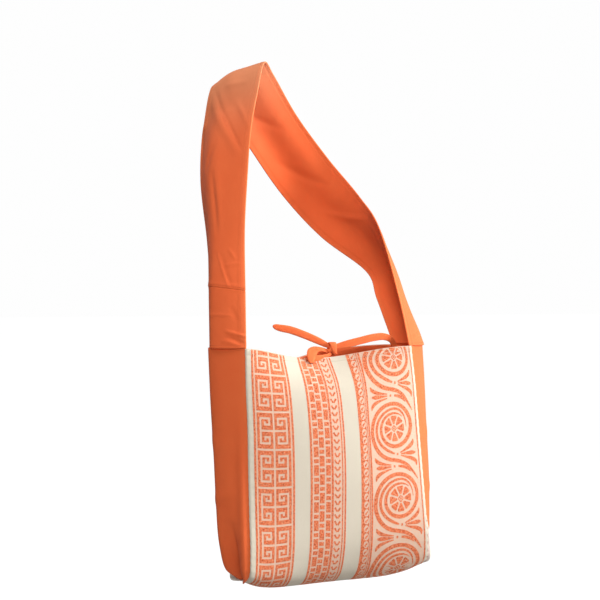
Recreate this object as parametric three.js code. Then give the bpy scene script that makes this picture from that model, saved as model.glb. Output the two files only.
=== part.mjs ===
import * as THREE from "three";

// A folk crossbody bag of woven cotton, in the form that it has when it is worn. One figured strip is
// the front, runs under the bottom and is the back. Plain gussets close the two sides, and a strap as
// wide as they are is sewn to both at the mouth and passes over one shoulder. Two flat cloth ties,
// knotted together, draw the middle of the mouth shut.
// Millimetres, +Z up, the front panel faces -Y. The origin is on the underside of the strap, at the
// middle of its width, where it lies on the shoulder.

// Driving dimensions
const MOUTH_Z = -515;
const BAG_MIDDLE_X = 75;
const PANEL_THICKNESS = 1.5;
const LINING_THICKNESS = 1;
const GUSSET_THICKNESS = 1.5;
const STRAP_THICKNESS = 2.5;
const TIE_THICKNESS = 2;
const SEAM_GAP = 0.5;
const LINING_GAP = 1.2;
const LINING_SIDE_SHARE = 0.016;
const PANEL_COLUMNS = 18;
const PANEL_ROWS = 42;
const BELLY_POWER = 2;
const SAG_POWER = 5;
const TIED_LEAN = 0.85;
const GUSSET_SEAM_SHARE = 0.004;
const GUSSET_END_RUN = 412;
const GUSSET_CREASE_POWER = 1.6;
const GUSSET_COLUMNS = 12;
const GUSSET_ROWS = 20;
const STRAP_JOIN_RUN = 104;
const STRAP_CREASE_POWER = 1.7;
const STRAP_FOLDS_ACROSS = 1.5;
const STRAP_LEVEL_RUN = 60;
const STRAP_COLUMNS = 10;
const STRAP_SHORT_ROWS = 5;
const STRAP_LONG_ROWS = 48;
const TIE_COLUMNS = 2;
const TIE_ROWS = 14;
const SHARE_STEP = 0.002;
const RUN_STEP = 1;

// The panel's strip, from the front mouth to the back mouth. run is the distance along it, half is half
// the width between the side seams, and y and drop place the seams. Between them the middle is drawn in
// by the tie (pull, dip), stands out to the front (belly, or back if below 0) and hangs down (sag).
const PANEL_SECTIONS = [
  { run: 0, half: 161, y: -236, drop: 0, pull: 27, dip: 20, belly: 0, sag: 0 },
  { run: 60, half: 164, y: -245, drop: 60, pull: 10, dip: 6, belly: 12, sag: 0 },
  { run: 130, half: 165, y: -255, drop: 130, pull: 0, dip: 0, belly: 11, sag: 0 },
  { run: 200, half: 167, y: -263, drop: 200, pull: 0, dip: 0, belly: 11, sag: 0 },
  { run: 280, half: 169, y: -273, drop: 280, pull: 0, dip: 0, belly: 1, sag: 2 },
  { run: 345, half: 170, y: -280, drop: 345, pull: 0, dip: 0, belly: -12, sag: 9 },
  { run: 382, half: 170, y: -274, drop: 379, pull: 0, dip: 0, belly: -22, sag: 14 },
  { run: 418, half: 170, y: -239, drop: 391, pull: 0, dip: 0, belly: -20, sag: 22 },
  { run: 454, half: 171, y: -206, drop: 379, pull: 0, dip: 0, belly: -12, sag: 16 },
  { run: 491, half: 173, y: -199, drop: 345, pull: 0, dip: 0, belly: -8, sag: 9 },
  { run: 561, half: 174, y: -186, drop: 276, pull: 0, dip: 0, belly: -8, sag: 2 },
  { run: 641, half: 174, y: -173, drop: 196, pull: 0, dip: 0, belly: -8, sag: 0 },
  { run: 721, half: 175, y: -160, drop: 116, pull: -4, dip: 1, belly: -4, sag: 0 },
  { run: 791, half: 175, y: -151, drop: 46, pull: -12, dip: 4, belly: 0, sag: 0 },
  { run: 836, half: 175, y: -146, drop: 0, pull: -19, dip: 6, belly: 0, sag: 0 },
];

// The gusset at distances down its seams: left and right are how far the crease stands out on either
// side, and valley is the share of that by which it is folded in behind the front seam.
const GUSSET_SECTIONS = [
  { run: 0, left: 44, right: 44, valley: 0 },
  { run: 130, left: 42, right: 39, valley: 0 },
  { run: 260, left: 41, right: 34, valley: 0.05 },
  { run: 330, left: 39, right: 29, valley: 0.35 },
  { run: 372, left: 30, right: 20, valley: 0.8 },
  { run: 395, left: 13, right: 8, valley: 0.85 },
  { run: 412, left: 2, right: 2, valley: 0 },
];
const VALLEY_PLACE = 0.4;
const VALLEY_WIDTH = 0.14;

// The strap from the left gusset, over the shoulder and down the back to the right gusset. fx, fy, fz
// is the edge that is in front at the bag and next to the neck at the shoulder, bx, by, bz is the other
// edge, rise is how far the middle stands out, and fold is the height of its lengthwise folds.
const STRAP_SECTIONS = [
  { run: 0, fx: -85, fy: -234, fz: -514.2, bx: -99, by: -148, bz: -514.2, rise: 44, fold: 0 },
  { run: 104, fx: -74, fy: -204, fz: -417, bx: -98, by: -112, bz: -417, rise: 38, fold: 0 },
  { run: 223, fx: -55, fy: -157, fz: -309, bx: -92, by: -61, bz: -309, rise: 26, fold: 1 },
  { run: 327, fx: -33, fy: -117, fz: -216, bx: -86, by: -15, bz: -216, rise: 22, fold: 2 },
  { run: 427, fx: -9, fy: -79, fz: -120, bx: -71, by: 23, bz: -132, rise: 16, fold: 3 },
  { run: 480, fx: 13, fy: -50, fz: -59, bx: -67, by: 20, bz: -101, rise: 9, fold: 3 },
  { run: 563, fx: 43, fy: -20, fz: 17.5, bx: -48, by: 20, bz: -27, rise: 8.5, fold: 1 },
  { run: 616, fx: 76, fy: 17, fz: 3, bx: -16, by: 55, bz: -53, rise: 5, fold: 2 },
  { run: 718, fx: 139, fy: 46, fz: -68, bx: 50, by: 76, bz: -132, rise: 7, fold: 3 },
  { run: 830, fx: 202, fy: 30, fz: -154, bx: 120, by: 68, bz: -226, rise: 9, fold: 3 },
  { run: 939, fx: 236, fy: -36, fz: -232, bx: 190, by: 34, bz: -308, rise: 14, fold: 2 },
  { run: 1044, fx: 239, fy: -111, fz: -297, bx: 251, by: -37, bz: -375, rise: 19, fold: 1 },
  { run: 1158, fx: 250, fy: -171, fz: -432, bx: 242, by: -98, bz: -432, rise: 41, fold: 0 },
  { run: 1258, fx: 234, fy: -234, fz: -514.2, bx: 249, by: -148, bz: -514.2, rise: 44, fold: 0 },
];

// The knot, turned about a vertical line: radius at each height above its middle, and how much flatter
// it is from front to back.
const KNOT_MIDDLE = new THREE.Vector3(96, -200, -519);
const KNOT_PROFILE = [
  { height: -12, radius: 0 },
  { height: -11, radius: 4.5 },
  { height: -6, radius: 7.5 },
  { height: 0, radius: 6.4 },
  { height: 6, radius: 7.5 },
  { height: 11, radius: 4.5 },
  { height: 12, radius: 0 },
];
const KNOT_SIDES = 12;
const KNOT_FLATTENING = 0.85;

// The ties. Each is a flat strip along a few points, its face turned to facing, as wide as startWidth
// where it begins and endWidth where it stops.
const TIES = [
  {
    name: "front_tie_stem",
    facing: [0.15, -1, 0.4],
    startWidth: 20,
    endWidth: 8,
    points: [
      [46, -219.6, -543],
      [46, -216.4, -535.5],
      [50, -211.4, -526],
      [57, -208, -521],
      [66, -206, -519],
      [77, -202.9, -520.5],
      [88, -201, -523.2],
    ],
  },
  {
    name: "front_tie_tail",
    facing: [-0.15, -1, 0.1],
    startWidth: 8,
    endWidth: 12,
    points: [
      [88, -199, -513.5],
      [70, -195, -505],
      [44, -191, -494],
      [18, -187, -485],
      [0, -184, -481.5],
      [-12, -182, -478],
    ],
  },
  {
    name: "back_tie_tail",
    facing: [0, -1, 0.15],
    startWidth: 8,
    endWidth: 13,
    points: [
      [104.7, -200.5, -515],
      [122, -203, -511.5],
      [150, -204, -505.5],
      [178, -203, -500],
      [200, -201, -499],
      [216, -199, -505],
      [223, -197, -518],
      [224, -195, -536],
      [222, -194, -554],
    ],
  },
  {
    name: "back_tie_stem",
    facing: [0.2, -1, 0.2],
    startWidth: 8,
    endWidth: 13,
    points: [
      [104.4, -198.5, -524.5],
      [107, -189, -526],
      [101, -178.5, -526.5],
      [88, -171.8, -528],
      [75, -170.8, -531],
    ],
  },
];

const ORANGE_COTTON = 0xd9662b;
const SHADED_COTTON = 0xbd4f1f;
const FIGURED_CLOTH = 0xe9a27c;
const WOVEN_ROUGHNESS = 0.85;
const PLAIN_ROUGHNESS = 0.9;

// A smooth curve through the rows of a table: takes a run, and gives the other columns there.
function smoothTable(rows) {
  const columns = Object.keys(rows[0]).filter((column) => column !== "run");
  const runs = rows.map((row) => row.run);
  const values = rows.flatMap((row) => columns.map((column) => row[column]));
  const curve = new THREE.CubicInterpolant(runs, values, columns.length);
  return (run) => {
    const found = curve.evaluate(run);
    return Object.fromEntries(columns.map((column, i) => [column, found[i]]));
  };
}

// The outward direction of a sheet, which is a function of two shares: across it and along it.
function outwardOf(sheet, across, along) {
  const acrossStep = sheet(across + SHARE_STEP, along).sub(sheet(across - SHARE_STEP, along));
  const alongStep = sheet(across, along + SHARE_STEP).sub(sheet(across, along - SHARE_STEP));
  return alongStep.cross(acrossStep).normalize();
}

// The inner face of a wall whose outer face is the sheet.
function innerFace(sheet, thickness) {
  return (across, along) => {
    const outward = outwardOf(sheet, across, along);
    return sheet(across, along).addScaledVector(outward, -thickness);
  };
}

// A closed wall of cloth between an outer and an inner sheet.
function wallBetween(outerSheet, innerSheet, columns, rows) {
  const positions = [];
  for (const sheet of [outerSheet, innerSheet]) {
    for (let row = 0; row <= rows; row += 1) {
      for (let column = 0; column <= columns; column += 1) {
        positions.push(...sheet(column / columns, row / rows));
      }
    }
  }
  const inside = (rows + 1) * (columns + 1);
  const at = (row, column) => row * (columns + 1) + column;
  const faces = [];
  const addQuad = (a, b, c, d) => faces.push(a, b, d, b, c, d);
  for (let row = 0; row < rows; row += 1) {
    for (let column = 0; column < columns; column += 1) {
      const a = at(row, column);
      const b = at(row + 1, column);
      const c = at(row + 1, column + 1);
      const d = at(row, column + 1);
      addQuad(a, b, c, d);
      addQuad(inside + d, inside + c, inside + b, inside + a);
    }
  }
  const addRim = (from, to) => addQuad(from, to, inside + to, inside + from);
  for (let column = 0; column < columns; column += 1) {
    addRim(at(0, column), at(0, column + 1));
    addRim(at(rows, column + 1), at(rows, column));
  }
  for (let row = 0; row < rows; row += 1) {
    addRim(at(row + 1, 0), at(row, 0));
    addRim(at(row, columns), at(row + 1, columns));
  }
  const geometry = new THREE.BufferGeometry();
  geometry.setAttribute("position", new THREE.Float32BufferAttribute(positions, 3));
  geometry.setIndex(faces);
  geometry.computeVertexNormals();
  return geometry;
}

function clothWall(sheet, columns, rows, thickness) {
  return wallBetween(sheet, innerFace(sheet, thickness), columns, rows);
}

// Panel and lining
const panelAt = smoothTable(PANEL_SECTIONS);
const PANEL_LENGTH = PANEL_SECTIONS.at(-1).run;
const PANEL_ROW_RUN = PANEL_LENGTH / PANEL_ROWS;

function panelSheet(across, along) {
  const section = panelAt(along * PANEL_LENGTH);
  const side = 2 * across - 1;
  const tied = Math.sin(Math.PI * Math.max(across, 0) ** TIED_LEAN) ** 2;
  const bellied = 1 - side ** BELLY_POWER;
  const sagged = 1 - Math.abs(side) ** SAG_POWER;
  return new THREE.Vector3(
    BAG_MIDDLE_X + side * section.half,
    section.y + section.pull * tied - section.belly * bellied,
    MOUTH_Z - section.drop - section.dip * tied - section.sag * sagged,
  );
}

// A point inside the panel's inner face, a gap away from it.
function insidePanel(across, run, gap) {
  return innerFace(panelSheet, PANEL_THICKNESS + gap)(across, run / PANEL_LENGTH);
}

// The lining lies on the panel's own rows and columns, from mouth to mouth and short of the seams.
function liningSheet(gap) {
  return (across, along) => {
    const share = THREE.MathUtils.clamp(across, LINING_SIDE_SHARE, 1 - LINING_SIDE_SHARE);
    return insidePanel(share, along * PANEL_LENGTH, gap);
  };
}

// A point of the seam that holds a gusset, on the straight line between two of the panel's rows.
function seamPoint(across, run) {
  const row = Math.floor(run / PANEL_ROW_RUN);
  const above = insidePanel(across, row * PANEL_ROW_RUN, SEAM_GAP);
  const below = insidePanel(across, (row + 1) * PANEL_ROW_RUN, SEAM_GAP);
  return above.lerp(below, run / PANEL_ROW_RUN - row);
}

// Gussets: side is -1 on the left and 1 on the right
const gussetAt = smoothTable(GUSSET_SECTIONS);

function gussetSheet(side) {
  const seam = side < 0 ? GUSSET_SEAM_SHARE : 1 - GUSSET_SEAM_SHARE;
  return (across, along) => {
    const run = along * GUSSET_END_RUN;
    const section = gussetAt(run);
    const rise = side < 0 ? section.left : section.right;
    const toBack = side < 0 ? 1 - across : across;
    const crease = 1 - Math.abs(2 * toBack - 1) ** GUSSET_CREASE_POWER;
    const valley = section.valley * Math.exp(-(((toBack - VALLEY_PLACE) / VALLEY_WIDTH) ** 2));
    const point = seamPoint(seam, run).lerp(seamPoint(seam, PANEL_LENGTH - run), toBack);
    point.x += side * rise * crease * (1 - valley);
    return point;
  };
}

// Strap: the two pieces are stretches of one sheet
const strapAt = smoothTable(STRAP_SECTIONS);
const STRAP_LENGTH = STRAP_SECTIONS.at(-1).run;

function strapEdges(run) {
  const section = strapAt(run);
  const front = new THREE.Vector3(section.fx, section.fy, section.fz);
  const back = new THREE.Vector3(section.bx, section.by, section.bz);
  return { section, front, back, middle: front.clone().lerp(back, 0.5) };
}

function strapPoint(across, run) {
  const { section, front, back } = strapEdges(run);
  const forward = strapEdges(run + RUN_STEP).middle.sub(strapEdges(run - RUN_STEP).middle);
  const outward = forward.cross(back.clone().sub(front)).normalize();
  outward.z *= THREE.MathUtils.smoothstep(Math.min(run, STRAP_LENGTH - run), 0, STRAP_LEVEL_RUN);
  const crease = 1 - Math.abs(2 * across - 1) ** STRAP_CREASE_POWER;
  const fold = section.fold * Math.sin(2 * Math.PI * STRAP_FOLDS_ACROSS * (across - 0.5));
  return front.lerp(back, across).addScaledVector(outward, section.rise * crease + fold);
}

function strapSheet(startRun, endRun) {
  return (across, along) => strapPoint(across, THREE.MathUtils.lerp(startRun, endRun, along));
}

// Ties
function tieSheet({ facing, startWidth, endWidth, points }) {
  const path = new THREE.CatmullRomCurve3(points.map((point) => new THREE.Vector3(...point)));
  const face = new THREE.Vector3(...facing);
  const taper = Math.min(startWidth, endWidth) / Math.max(startWidth, endWidth);
  return (across, along) => {
    const share = THREE.MathUtils.clamp(along, 0, 1);
    const forward = path.getTangentAt(share);
    const sideways = face.clone().cross(forward).normalize();
    const outward = forward.clone().cross(sideways);
    const width = THREE.MathUtils.lerp(startWidth, endWidth, share ** taper);
    const outside = path.getPointAt(share).addScaledVector(outward, TIE_THICKNESS / 2);
    return outside.addScaledVector(sideways, (across - 0.5) * width).addScaledVector(forward, along - share);
  };
}

function knotBody() {
  const profile = KNOT_PROFILE.map(({ height, radius }) => new THREE.Vector2(radius, height));
  const body = new THREE.LatheGeometry(profile, KNOT_SIDES).rotateX(Math.PI / 2);
  return body.scale(1, KNOT_FLATTENING, 1).translate(...KNOT_MIDDLE);
}

const bag = new THREE.Group();

function addPiece(name, geometry, color, roughness) {
  const material = new THREE.MeshStandardMaterial({ color, roughness, metalness: 0 });
  const piece = new THREE.Mesh(geometry, material);
  piece.name = name;
  bag.add(piece);
}

const panelWall = clothWall(panelSheet, PANEL_COLUMNS, PANEL_ROWS, PANEL_THICKNESS);
addPiece("body_panel", panelWall, FIGURED_CLOTH, WOVEN_ROUGHNESS);
const liningOuter = liningSheet(LINING_GAP);
const liningInner = liningSheet(LINING_GAP + LINING_THICKNESS);
const liningWall = wallBetween(liningOuter, liningInner, PANEL_COLUMNS, PANEL_ROWS);
addPiece("lining", liningWall, SHADED_COTTON, PLAIN_ROUGHNESS);

function addOrangePiece(name, sheet, columns, rows, thickness) {
  addPiece(name, clothWall(sheet, columns, rows, thickness), ORANGE_COTTON, PLAIN_ROUGHNESS);
}

addOrangePiece("gusset_left", gussetSheet(-1), GUSSET_COLUMNS, GUSSET_ROWS, GUSSET_THICKNESS);
addOrangePiece("gusset_right", gussetSheet(1), GUSSET_COLUMNS, GUSSET_ROWS, GUSSET_THICKNESS);

const shortStrap = strapSheet(0, STRAP_JOIN_RUN - SEAM_GAP);
const longStrap = strapSheet(STRAP_JOIN_RUN, STRAP_LENGTH);
addOrangePiece("strap_short", shortStrap, STRAP_COLUMNS, STRAP_SHORT_ROWS, STRAP_THICKNESS);
addOrangePiece("strap_long", longStrap, STRAP_COLUMNS, STRAP_LONG_ROWS, STRAP_THICKNESS);

for (const tie of TIES) {
  addOrangePiece(tie.name, tieSheet(tie), TIE_COLUMNS, TIE_ROWS, TIE_THICKNESS);
}
addPiece("tie_knot", knotBody(), ORANGE_COTTON, PLAIN_ROUGHNESS);

export default bag;
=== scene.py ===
import math
from functools import partial

import bpy
import numpy as np
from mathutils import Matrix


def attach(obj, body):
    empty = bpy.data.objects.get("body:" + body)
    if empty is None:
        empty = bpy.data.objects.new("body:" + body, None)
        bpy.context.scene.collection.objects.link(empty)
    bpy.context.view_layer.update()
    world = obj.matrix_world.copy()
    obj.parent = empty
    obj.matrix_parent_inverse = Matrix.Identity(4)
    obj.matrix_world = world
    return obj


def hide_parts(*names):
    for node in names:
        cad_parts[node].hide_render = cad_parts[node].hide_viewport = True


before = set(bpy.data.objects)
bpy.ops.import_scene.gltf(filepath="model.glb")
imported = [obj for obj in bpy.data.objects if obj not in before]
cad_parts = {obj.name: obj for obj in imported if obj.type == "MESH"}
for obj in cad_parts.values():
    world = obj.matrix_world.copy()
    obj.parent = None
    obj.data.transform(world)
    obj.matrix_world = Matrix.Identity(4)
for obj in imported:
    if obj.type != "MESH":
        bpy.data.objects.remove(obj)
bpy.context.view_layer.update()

# Camera and studio
# The bag is seen as it is worn, turned 25 degrees to the viewer, from 2.4 m away and level with the
# middle of the strap's loop. The floor is plain and pale, and large soft lamps stand in front.
MM = 0.001
BAG_TURN = math.radians(25)
CAMERA_PLACE = np.array([-0.8969, -2.1923, -0.4325])
LENS_MM = 75
SENSOR_MM = 36
BAG_CENTRE = np.array([0.06, -0.18, -0.5])
FLOOR_Z = -1.02
FLOOR_HALF = 40
PAPER_WHITE = (0.9, 0.9, 0.9, 1)
PAPER_STRENGTH = 1.1
ROOM_WHITE = (1, 1, 1, 1)
ROOM_LIGHT = 0.2
FLOOR_GREY = (0.35, 0.35, 0.35, 1)
FLOOR_GLOW = 1.3
FLOOR_GLOW_SHARE = 0.85

to_right = np.array([math.cos(BAG_TURN), -math.sin(BAG_TURN), 0])
to_viewer = np.array([-math.sin(BAG_TURN), -math.cos(BAG_TURN), 0])
upward = np.array([0, 0, 1])

camera_data = bpy.data.cameras.new("photo_camera")
camera_data.lens = LENS_MM
camera_data.sensor_width = SENSOR_MM
camera = bpy.data.objects.new("photo_camera", camera_data)
camera.location = CAMERA_PLACE
camera.rotation_euler = (math.pi / 2, 0, -BAG_TURN)
bpy.context.scene.collection.objects.link(camera)
bpy.context.scene.camera = camera
bpy.context.scene.view_settings.view_transform = "Standard"


def soft_lamp(name, right, near, up, size, power):
    """A square lamp, placed from the bag as the viewer sees it and turned to the bag."""
    lamp_data = bpy.data.lights.new(name, "AREA")
    lamp_data.size = size
    lamp_data.energy = power
    lamp = bpy.data.objects.new(name, lamp_data)
    offset = right * to_right + near * to_viewer + up * upward
    lamp.location = BAG_CENTRE + offset
    across = math.hypot(offset[0], offset[1])
    lamp.rotation_euler = (math.atan2(across, offset[2]), 0, math.atan2(offset[0], -offset[1]))
    bpy.context.scene.collection.objects.link(lamp)


soft_lamp("lamp_right", right=2.2, near=-0.1, up=0.6, size=1.0, power=110)
soft_lamp("lamp_front", right=0.3, near=2.2, up=0.9, size=1.2, power=23)
soft_lamp("lamp_top", right=-0.3, near=0.6, up=2.3, size=1.0, power=31)
soft_lamp("lamp_behind", right=-0.4, near=-2.2, up=1.2, size=1.6, power=20)


class Thread:
    """A socket in a node tree: arithmetic on it adds Math nodes, and node() adds any other node."""

    def __init__(self, tree, socket=None):
        self.tree = tree
        self.socket = socket

    def node(self, kind, settings, sockets, output=0):
        made = self.tree.nodes.new(kind)
        for name, value in settings.items():
            setattr(made, name, value)
        for name, value in sockets.items():
            if isinstance(value, Thread):
                self.tree.links.new(value.socket, made.inputs[name])
            else:
                made.inputs[name].default_value = value
        return Thread(self.tree, made.outputs[output] if made.outputs else None)

    def output(self, name):
        return Thread(self.tree, self.socket.node.outputs[name])

    def maths(self, operation, *values):
        return self.node("ShaderNodeMath", {"operation": operation}, dict(enumerate(values)))

    def applied(self, operation):
        return self.maths(operation, self)

    def __add__(self, other):
        return self.maths("ADD", self, other)

    def __sub__(self, other):
        return self.maths("SUBTRACT", self, other)

    def __rsub__(self, other):
        return self.maths("SUBTRACT", other, self)

    def __mul__(self, other):
        return self.maths("MULTIPLY", self, other)

    def __gt__(self, other):
        return self.maths("GREATER_THAN", self, other)

    def __lt__(self, other):
        return self.maths("LESS_THAN", self, other)

    __radd__ = __add__
    __rmul__ = __mul__


def new_material(name):
    """An empty material, as a Thread to add nodes by."""
    made = bpy.data.materials.new(name)
    made.use_nodes = True
    made.node_tree.nodes.clear()
    return made, Thread(made.node_tree)


def finish_material(thread, shader):
    thread.node("ShaderNodeOutputMaterial", {}, {"Surface": shader})


def new_object(name, mesh):
    made = bpy.data.objects.new(name, mesh)
    bpy.context.scene.collection.objects.link(made)
    return made


world = bpy.data.worlds.new("studio")
world.use_nodes = True
world.node_tree.nodes.clear()
air = Thread(world.node_tree)
seen = air.node("ShaderNodeLightPath", {}, {})
white_paper = air.node("ShaderNodeBackground", {}, {"Color": PAPER_WHITE, "Strength": PAPER_STRENGTH})
room_light = air.node("ShaderNodeBackground", {}, {"Color": ROOM_WHITE, "Strength": ROOM_LIGHT})
backdrop = air.node("ShaderNodeMixShader", {}, {0: seen, 1: room_light, 2: white_paper})
air.node("ShaderNodeOutputWorld", {}, {"Surface": backdrop})
bpy.context.scene.world = world

floor_corners = [(-1, -1), (1, -1), (1, 1), (-1, 1)]
floor_mesh = bpy.data.meshes.new("floor")
floor_points = [(x * FLOOR_HALF, y * FLOOR_HALF, FLOOR_Z) for x, y in floor_corners]
floor_mesh.from_pydata(floor_points, [], [(0, 1, 2, 3)])
floor = new_object("floor", floor_mesh)
floor_paper, thread = new_material("floor_paper")
paper = thread.node("ShaderNodeBsdfDiffuse", {}, {"Color": FLOOR_GREY})
glow = thread.node("ShaderNodeEmission", {}, {"Color": PAPER_WHITE, "Strength": FLOOR_GLOW})
seen = thread.node("ShaderNodeLightPath", {}, {})
floor_mix = {0: seen * FLOOR_GLOW_SHARE, 1: paper, 2: glow}
finish_material(thread, thread.node("ShaderNodeMixShader", {}, floor_mix))
floor_mesh.materials.append(floor_paper)

# Body panel
# One strip of cotton with woven bands, which is the front, runs under the bottom and is the back. Both
# ends are turned in and sewn down as a hem round the mouth, and the long edges are sewn to the gussets.
MOUTH_Z = -515
BAG_MIDDLE_X = 75
PANEL_WIDTH = 345
PANEL_LENGTH = 836
PANEL_CLOTH_LENGTH = 858
PANEL_THICKNESS = 1.5
PANEL_COLUMNS = 90
PANEL_ROWS = 200
BELLY_POWER = 2
SAG_POWER = 5
TIED_LEAN = 0.85
SLACK_SHARE = 0.62
RUN_STEP = 0.5
SHARE_STEP = 0.002
RIM_BULGE = 0.4
HEM_DEPTH = 10
HEM_EXTRA = 0.9
HEM_BULGE = 0.4
HEM_ROWS = 16
SEAM_PUCKER = 0.5
SEAM_PUCKER_PITCH = 13
SEAM_PUCKER_REACH = 9
PANEL_SECTIONS = {
    "run": [0, 60, 130, 200, 280, 345, 382, 418, 454, 491, 561, 641, 721, 791, 836],
    "half": [161, 164, 165, 167, 169, 170, 170, 170, 171, 173, 174, 174, 175, 175, 175],
    "y": [-236, -245, -255, -263, -273, -280, -274, -239, -206, -199, -186, -173, -160, -151, -146],
    "drop": [0, 60, 130, 200, 280, 345, 379, 391, 379, 345, 276, 196, 116, 46, 0],
    "pull": [27, 10, 0, 0, 0, 0, 0, 0, 0, 0, 0, 0, -4, -12, -19],
    "dip": [20, 6, 0, 0, 0, 0, 0, 0, 0, 0, 0, 0, 1, 4, 6],
    "belly": [0, 12, 11, 11, 1, -12, -22, -20, -12, -8, -8, -8, -4, 0, 0],
    "sag": [0, 0, 0, 0, 2, 9, 14, 22, 16, 9, 2, 0, 0, 0, 0],
    "slack": [0, 0, 0, 0, 0, 0, 0, 0, 0, 0, 0, 0, 3, 11, 18],
}


def smooth(table, column, run):
    """A smooth curve through one column of a table, at each run."""
    runs = np.array(table["run"], float)
    values = np.array(table[column], float)
    last = len(runs) - 1
    run = np.clip(run, runs[0], runs[last])
    after = np.clip(np.searchsorted(runs, run, side="right"), 1, last)
    before = after - 1
    earlier = np.where(before > 0, before - 1, after)
    later = np.where(after < last, after + 1, before)
    half_step = (runs[after] - runs[before]) / 2
    pull_back = half_step / (runs[before] - runs[earlier])
    pull_on = half_step / (runs[later] - runs[after])
    share = (run - runs[before]) / (2 * half_step)
    square = share * share
    cube = square * share
    from_earlier = pull_back * (2 * square - cube - share)
    from_before = (1 + pull_back) * cube - (1.5 + 2 * pull_back) * square + (pull_back - 0.5) * share + 1
    from_after = (1.5 + pull_on) * square - (1 + pull_on) * cube + 0.5 * share
    from_later = pull_on * (cube - square)
    near = from_before * values[before] + from_after * values[after]
    return near + from_earlier * values[earlier] + from_later * values[later]


def panel_sheet(across, run):
    """The panel's outer face: across is a share of its width, and run starts at the front mouth."""
    side = 2 * across - 1
    tied = np.sin(np.pi * np.maximum(across, 0) ** TIED_LEAN) ** 2
    pulled = smooth(PANEL_SECTIONS, "pull", run) * tied
    bellied = smooth(PANEL_SECTIONS, "belly", run) * (1 - side ** BELLY_POWER)
    dipped = smooth(PANEL_SECTIONS, "dip", run) * tied
    sagged = smooth(PANEL_SECTIONS, "sag", run) * (1 - np.abs(side) ** SAG_POWER)
    loose = np.sin(np.pi * np.clip(across / SLACK_SHARE, 0, 1)) ** 2
    slack = smooth(PANEL_SECTIONS, "slack", run) * loose
    x = BAG_MIDDLE_X + side * smooth(PANEL_SECTIONS, "half", run)
    y = smooth(PANEL_SECTIONS, "y", run) + pulled - bellied
    z = MOUTH_Z - smooth(PANEL_SECTIONS, "drop", run) - dipped - sagged - slack
    return np.stack([x, y, z], -1)


def unit(vectors):
    return vectors / np.maximum(np.linalg.norm(vectors, axis=-1, keepdims=True), 1e-9)


def outward_of(sheet, across, run):
    """The direction out of a sheet's outer face."""
    along_step = sheet(across, run + RUN_STEP) - sheet(across, run - RUN_STEP)
    across_step = sheet(across + SHARE_STEP, run) - sheet(across - SHARE_STEP, run)
    return unit(np.cross(along_step, across_step))


def with_relief(sheet, relief):
    """A sheet whose face is moved outwards by relief(across, run)."""
    def raised(across, run):
        return sheet(across, run) + relief(across, run)[..., None] * outward_of(sheet, across, run)
    return raised


def finer_ends(length, end, fine_steps, steps):
    """Places along a length, closer together over a short end at either side."""
    start = np.linspace(0, end, fine_steps, endpoint=False)
    middle = np.linspace(end, length - end, steps + 1)
    return np.concatenate([start, middle, length - start[::-1]])


def flat_places(points, width, shares, length):
    """Where rows of points lie on the flat cloth, measured along the cloth from its first row."""
    steps = np.linalg.norm(np.diff(points, axis=0), axis=-1)
    run = np.concatenate([np.zeros((1, len(shares))), np.cumsum(steps, axis=0)])
    return np.stack([np.broadcast_to(shares * width, run.shape), run * length / run[-1]], -1)


def cloth_wall(name, sheet, runs, shares, width, length, thickness):
    """A closed piece of cloth with rounded rims. Its UV map, cloth, is in metres on the flat cloth."""
    across, run = np.meshgrid(shares, runs)
    outer = sheet(across, run)
    deep = np.broadcast_to(thickness(across, run), run.shape)[..., None]
    inner = outer - deep * outward_of(sheet, across, run)
    rows = len(runs) - 1
    columns = len(shares) - 1
    top = [(0, column) for column in range(columns)]
    right = [(row, columns) for row in range(rows)]
    bottom = [(rows, column) for column in range(columns, 0, -1)]
    left = [(row, 0) for row in range(rows, 0, -1)]
    rim_row, rim_column = np.array(top + right + bottom + left).T
    edge = outer[rim_row, rim_column]
    inside = outer[np.clip(rim_row, 1, rows - 1), np.clip(rim_column, 1, columns - 1)]
    bulge = RIM_BULGE * deep[rim_row, rim_column] * unit(edge - inside)
    middle = (edge + inner[rim_row, rim_column]) / 2 + bulge
    flat = flat_places(outer, width, shares, length)
    points = np.concatenate([outer.reshape(-1, 3), inner.reshape(-1, 3), middle])
    flats = np.concatenate([flat.reshape(-1, 2), flat.reshape(-1, 2), flat[rim_row, rim_column]])
    index = np.arange(outer.shape[0] * outer.shape[1]).reshape(rows + 1, columns + 1)
    back = index.size
    corners = [index[:-1, :-1], index[1:, :-1], index[1:, 1:], index[:-1, 1:]]
    face = np.stack(corners, -1).reshape(-1, 4)
    rim = index[rim_row, rim_column]
    bead = 2 * back + np.arange(len(rim))
    rim_next = np.roll(rim, -1)
    bead_next = np.roll(bead, -1)
    outer_rim = np.stack([rim, rim_next, bead_next, bead], -1)
    inner_rim = np.stack([bead, bead_next, back + rim_next, back + rim], -1)
    faces = np.concatenate([face, back + face[:, ::-1], outer_rim, inner_rim])
    return cloth_object(name, points, faces.tolist(), flats)


def cloth_object(name, points, faces, flats):
    """An object from points in millimetres, with flats as its UV map, cloth, in metres."""
    mesh = bpy.data.meshes.new(name)
    mesh.from_pydata((np.asarray(points) * MM).tolist(), [], faces)
    mesh.uv_layers.new(name="cloth")
    corner_points = np.empty(len(mesh.loops), int)
    mesh.loops.foreach_get("vertex_index", corner_points)
    mesh.uv_layers["cloth"].uv.foreach_set("vector", (np.asarray(flats)[corner_points] * MM).ravel())
    mesh.polygons.foreach_set("use_smooth", np.ones(len(mesh.polygons), bool))
    return new_object(name, mesh)


def hem_share(from_edge):
    """1 in a turned hem at a cloth's edge, and 0 in the rest."""
    return np.clip((HEM_DEPTH + 1 - from_edge) / 2, 0, 1)


def panel_hem(run):
    return hem_share(np.minimum(run, PANEL_LENGTH - run))


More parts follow.
